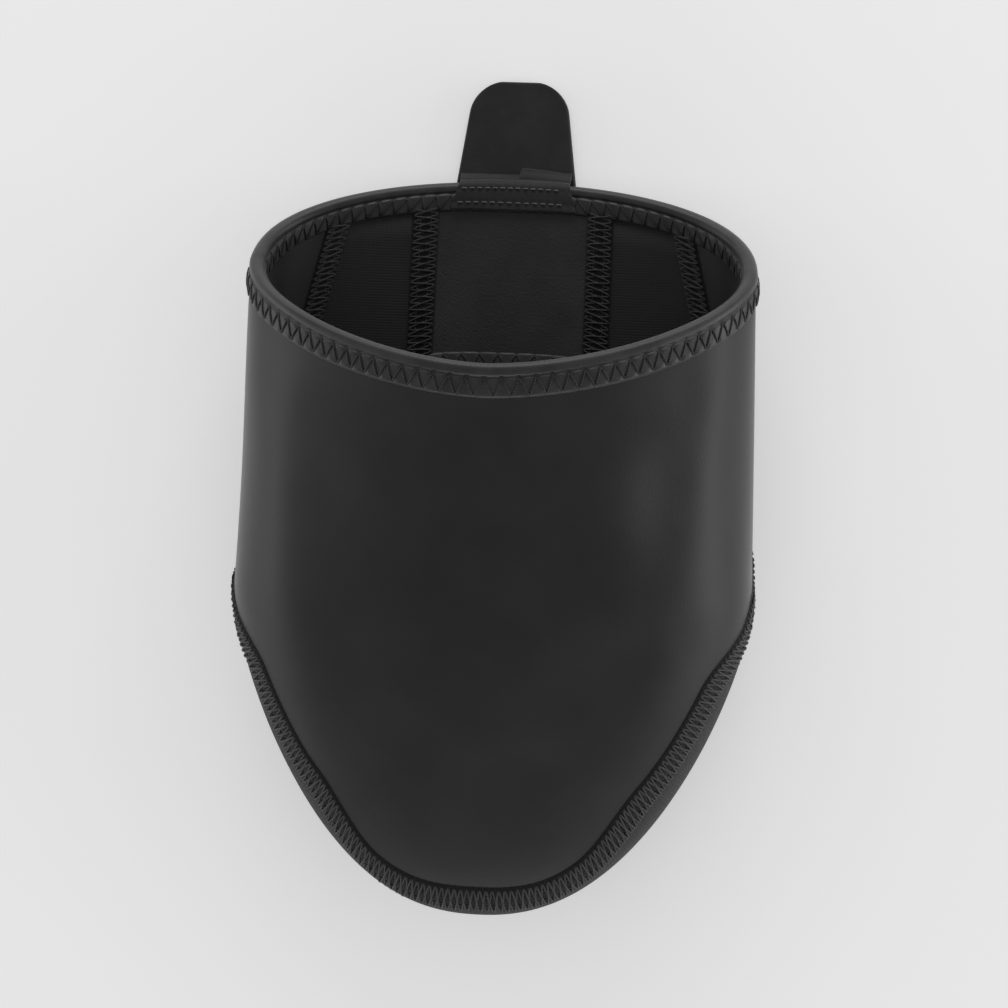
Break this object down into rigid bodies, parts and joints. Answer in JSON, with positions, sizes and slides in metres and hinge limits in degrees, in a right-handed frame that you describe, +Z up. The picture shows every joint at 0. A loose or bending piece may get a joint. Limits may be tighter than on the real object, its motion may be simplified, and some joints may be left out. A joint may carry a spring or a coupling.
{
  "type": "cycling toe cover",
  "caption": "Neoprene cover for the front half of a cycling shoe, open at the collar and under the cleat, with a flat strap and pull tab under the foot.",
  "frame": {"origin": "middle of the bounding box, on the floor plane", "axes": "toe along -Y, collar and pull tab along +Y, +Z up, symmetric about X = 0"},
  "size_m": [0.1108, 0.1794, 0.0574],
  "materials": {
    "smooth_neoprene": "smooth matt skin",
    "band_knit": "fine knit",
    "dotted_grip": "matt with raised glossy dots",
    "seam_thread": "flatlock thread",
    "binding": "soft coated tape with zigzag stitch",
    "strap_webbing": "woven hook fabric",
    "label_satin": "satin ribbon"
  },
  "bodies": {
    "root": {"upper": "smooth_neoprene", "toe_band": "band_knit", "sole_left": "dotted_grip", "sole_right": "dotted_grip", "bridge_panel": "smooth_neoprene", "bridge_seam_left": "seam_thread", "bridge_seam_right": "seam_thread", "sole_seam": "seam_thread", "band_seam": "seam_thread", "toe_seam": "seam_thread", "collar_binding": "binding", "cleat_binding": "binding", "strap": "strap_webbing", "pull_tab": "strap_webbing", "size_label": "label_satin"}
  },
  "joints": []
}
